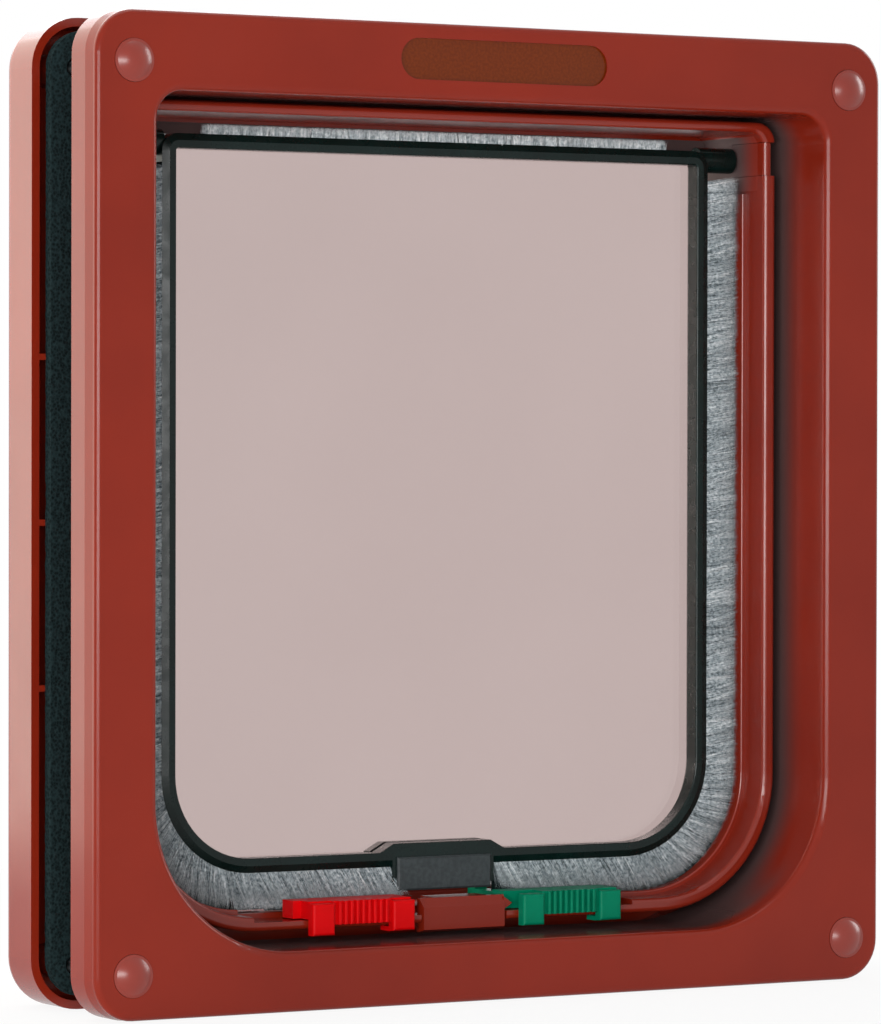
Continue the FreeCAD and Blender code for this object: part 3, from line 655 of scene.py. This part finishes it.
def stripPoint(along, straight, bend):
    # place on the border's outer edge, outward way and forward way, for the right strip
    half, low, radius = pile["half"], pile["bottom"], pile["cornerRadius"]
    if along < straight:
        return Vector((half, 0, pile["topZ"] - along)), Vector((1, 0, 0)), Vector((0, 0, -1))
    along -= straight
    if along < bend:
        angle = along / radius
        out = Vector((math.cos(angle), 0, -math.sin(angle)))
        middle = Vector((half - radius, 0, low + radius))
        return middle + out * radius, out, Vector((-math.sin(angle), 0, -math.cos(angle)))
    along -= bend
    return Vector((half - radius - along, 0, low)), Vector((0, 0, -1)), Vector((-1, 0, 0))


def addThread(shape, root, tip, thickness, tone):
    # one bristle, a long three-sided spike
    start = len(shape["points"])
    way = (tip - root).normalized()
    side = way.cross(Vector((0.3, 0.9, 0.2))).normalized()
    other = way.cross(side)
    shape["points"] += [
        root + side * thickness,
        root + (other * 0.87 - side * 0.5) * thickness,
        root - (other * 0.87 + side * 0.5) * thickness,
        tip,
    ]
    for first, second in ((0, 1), (1, 2), (2, 0)):
        shape["faces"].append((start + first, start + second, start + 3))
    # the root points take three quarters of the tone: painted shade at the roots of the bristles
    shape["tones"] += [tone * 0.75] * 3 + [tone]


def finishPile(name, shape, node):
    mesh = bpy.data.meshes.new(name)
    mesh.from_pydata(shape["points"], [], shape["faces"])
    mesh.update()
    tones = mesh.attributes.new("tone", "FLOAT", "POINT")
    tones.data.foreach_set("value", shape["tones"])
    mesh.materials.append(pilePaint)
    piece = bpy.data.objects.new(name, mesh)
    bpy.context.collection.objects.link(piece)
    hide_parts(node)
    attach(piece, "flap")
    print(name + ":", len(shape["faces"]), "faces")


def reachToWall(place, way, gap):
    # how far a bristle runs before it comes near the tunnel's wall
    half, low = pile["tunnelHalf"], pile["tunnelBottom"]
    radius = pile["tunnelRadius"]
    reach, longest = pile["reach"]
    while reach < longest:
        x = abs(place.x + way.x * reach)
        z = place.z + way.z * reach
        aside, below = x - (half - radius), low + radius - z
        if x > half - gap or z < low + gap:
            break
        if aside > 0 and below > 0 and math.hypot(aside, below) > radius - gap:
            break
        reach += pile["reachStep"]
    return reach


def makeWayAndGap(side, along, straight, bend, place, out, forward, tipY, lean):
    # the bristle's way, and the room at its tip: more in front, over the ridge and the locks
    way = out * math.cos(math.radians(lean)) + forward * math.sin(math.radians(lean))
    share = min(max((along - straight) / bend, 0), 1)
    gap = pile["backGap"]
    if tipY < pile["ridgeY"]:
        gap = pile["frontGap"] * (1 - share) + pile["footGap"] * share
    if side > 0 and share == 1 and place.x < pile["armX"]:
        gap = max(gap, pile["armGap"])
    return way, gap


def holdOffCatch(root, tip):
    # the bristles part in front of the catch
    low, high = pile["catchX"]
    if root.z < pile["catchTop"] and min(root.x, tip.x) < high and max(root.x, tip.x) > low:
        tip.y = min(tip.y, pile["catchY"])
        root.y = min(root.y, pile["catchY"])


def makeSidePile(name, node, side, seed):
    dice = random.Random(seed)
    straight = pile["topZ"] - pile["bottom"] - pile["cornerRadius"]
    bend = pile["cornerRadius"] * math.pi / 2
    total = straight + bend + pile["half"] - pile["cornerRadius"] - pile["startX"]
    shape = {"points": [], "faces": [], "tones": []}
    frontY, backY = pile["rootY"]
    frontTip, backTip = pile["fanY"]
    for index in range(pile["clumps"]):
        along = total * (index + dice.random()) / pile["clumps"]
        depth = dice.random()
        place, out, forward = stripPoint(along, straight, bend)
        if side < 0:
            place, out, forward = (Vector((-v.x, v.y, v.z)) for v in (place, out, forward))
        # all bristles lie over the same way round the flap
        share = min(max((along - straight) / bend, 0), 1)
        lean = pile["sideLean"] * (1 - share) + pile["footLean"] * share
        lean = lean * (-1 if side > 0 else 1) + dice.gauss(0, pile["leanSpread"])
        if along < pile["endLength"]:
            lean += pile["endLean"] * (1 - along / pile["endLength"])
        fan = min(max(depth + dice.gauss(0, pile["fanSpread"]), 0), 1)
        tipY = frontTip + (backTip - frontTip) * fan
        way, gap = makeWayAndGap(side, along, straight, bend, place, out, forward, tipY, lean)
        length = reachToWall(place, way, gap)
        clumpTone = dice.gauss(*pile["clumpTone"])
        for _ in range(pile["threadsInClump"]):
            root = place + forward * dice.gauss(0, pile["rootSpread"]) - out * pile["rootDepth"]
            layer = min(max(depth + dice.gauss(0, pile["depthSpread"]), 0), 1)
            root.y = frontY + (backY - frontY) * layer
            reach = length * dice.uniform(pile["shortest"], 1.0) + pile["rootDepth"]
            tip = root + way * reach + forward * dice.gauss(0, pile["tipSpread"])
            tip.y = tipY + dice.gauss(0, pile["tipDepthSpread"])
            tip.y = min(max(tip.y, frontTip), backTip)
            holdOffCatch(root, tip)
            tone = min(max(clumpTone + dice.gauss(0, pile["toneSpread"]), 0), 1)
            addThread(shape, root, tip, pile["thickness"], tone)
    finishPile(name, shape, node)


topPile = {
    "half": 0.0700,
    "rootZ": 0.2224,
    "tipZ": 0.2262,
    "y": (0.0070, 0.0106),
    "clumps": 3000,
    "threadsInClump": 6,
    "thickness": 0.00009,
}


def makeTopPile(name, node, seed):
    dice = random.Random(seed)
    shape = {"points": [], "faces": [], "tones": []}
    half = topPile["half"]
    for index in range(topPile["clumps"]):
        x = -half + 2 * half * (index + dice.random()) / topPile["clumps"]
        y = dice.uniform(*topPile["y"])
        lean = dice.gauss(0, 0.0004)
        clumpTone = dice.gauss(0.7, 0.18)
        for _ in range(topPile["threadsInClump"]):
            root = Vector((x + dice.gauss(0, 0.00022), y + dice.gauss(0, 0.0001), topPile["rootZ"]))
            tip = Vector((root.x + lean + dice.gauss(0, 0.00025), root.y - dice.uniform(0, 0.0002), 0))
            tip.z = topPile["tipZ"] - abs(dice.gauss(0, 0.0003))
            tone = min(max(clumpTone + dice.gauss(0, 0.12), 0), 1)
            addThread(shape, root, tip, topPile["thickness"], tone)
    finishPile(name, shape, node)


fin = {"y": 0.0098, "thickness": 0.0003, "inset": 0.0008, "gap": 0.0003, "step": 0.0015, "ends": 0.0012,
       "cutTop": 0.04}


def makeFin(name, node, side):
    # thin fin that stands in the middle of the pile and closes the gap behind the bristles
    straight = pile["topZ"] - pile["bottom"] - pile["cornerRadius"]
    bend = pile["cornerRadius"] * math.pi / 2
    total = straight + bend + pile["half"] - pile["cornerRadius"] - pile["startX"] - fin["ends"]
    points, faces = [], []
    count = int(total / fin["step"])
    half, inner = fin["thickness"] / 2, -fin["inset"]
    for index in range(count + 1):
        place, out, _ = stripPoint(total * index / count, straight, bend)
        reach = reachToWall(place, out, fin["gap"])
        x, z = place.x * side, place.z
        for depth, along in ((-half, inner), (-half, reach), (half, reach), (half, inner)):
            points.append((x + out.x * side * along, fin["y"] + depth, z + out.z * along))
        if index:
            start = 4 * (index - 1)
            for corner in range(4):
                after = (corner + 1) % 4
                faces.append((start + corner, start + after, start + 4 + after, start + 4 + corner))
    faces += [(0, 1, 2, 3), tuple(4 * count + corner for corner in (3, 2, 1, 0))]
    mesh = bpy.data.meshes.new(name)
    mesh.from_pydata(points, [], faces)
    mesh.materials.append(borderPaint)
    piece = bpy.data.objects.new(name, mesh)
    bpy.context.collection.objects.link(piece)
    bpy.ops.object.select_all(action="DESELECT")
    bpy.context.view_layer.objects.active = piece
    piece.select_set(True)
    bpy.ops.object.mode_set(mode="EDIT")
    bpy.ops.mesh.select_all(action="SELECT")
    bpy.ops.mesh.normals_make_consistent(inside=False)
    if side < 0:
        cutFinAtCatch()
    bpy.ops.object.mode_set(mode="OBJECT")
    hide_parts(node)
    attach(piece, "flap")
    print(name + ":", len(mesh.polygons), "faces")


def cutFinAtCatch():
    # the left fin is cut out over the catch
    low, high = pile["catchX"]
    for x in (low, high):
        bpy.ops.mesh.select_all(action="SELECT")
        bpy.ops.mesh.bisect(plane_co=(x, 0, 0), plane_no=(1, 0, 0))
    mesh = bmesh.from_edit_mesh(bpy.context.edit_object.data)
    for face in mesh.faces:
        middle = face.calc_center_median()
        face.select_set(low < middle.x < high and middle.z < fin["cutTop"])
    bmesh.update_edit_mesh(bpy.context.edit_object.data)
    bpy.ops.mesh.delete(type="FACE")
    bpy.ops.mesh.select_all(action="DESELECT")
    bpy.ops.mesh.select_non_manifold()
    bpy.ops.mesh.edge_face_add()


lips = {
    "weatherLip": {"half": 0.0446, "y": (0.0226, 0.0248), "z": (0.0248, 0.0257), "bevel": 0.0004},
    "floorBead": {"half": 0.0610, "y": (0.0226, 0.0246), "z": (0.0224, 0.0234), "bevel": 0.0004},
}


def makeLip(name):
    # soft bead along the rear sill and the floor beside it
    lipSizes = lips[name]
    bpy.ops.object.select_all(action="DESELECT")
    bpy.ops.mesh.primitive_cube_add(size=1)
    lip = bpy.context.object
    lip.name = name
    frontY, backY = lipSizes["y"]
    low, high = lipSizes["z"]
    lip.scale = (2 * lipSizes["half"], backY - frontY, high - low)
    lip.location = (0, (frontY + backY) / 2, (low + high) / 2)
    bpy.ops.object.transform_apply(location=True, rotation=True, scale=True)
    bevel = lip.modifiers.new("round", "BEVEL")
    bevel.width = lipSizes["bevel"]
    bevel.segments = 3
    bpy.ops.object.modifier_apply(modifier=bevel.name)
    bpy.ops.object.shade_smooth_by_angle(angle=math.radians(40))
    lip.data.materials.append(rearPaint)
    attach(lip, "frames")
    print(name, "made")


makeLip("weatherLip")
makeLip("floorBead")
makeFin("finLeft", "brush_left", -1)
makeFin("finRight", "brush_right", 1)
makeSidePile("pileLeft", "brush_left", -1, 11)
makeSidePile("pileRight", "brush_right", 1, 23)
makeTopPile("pileTop", "brush_top", 37)
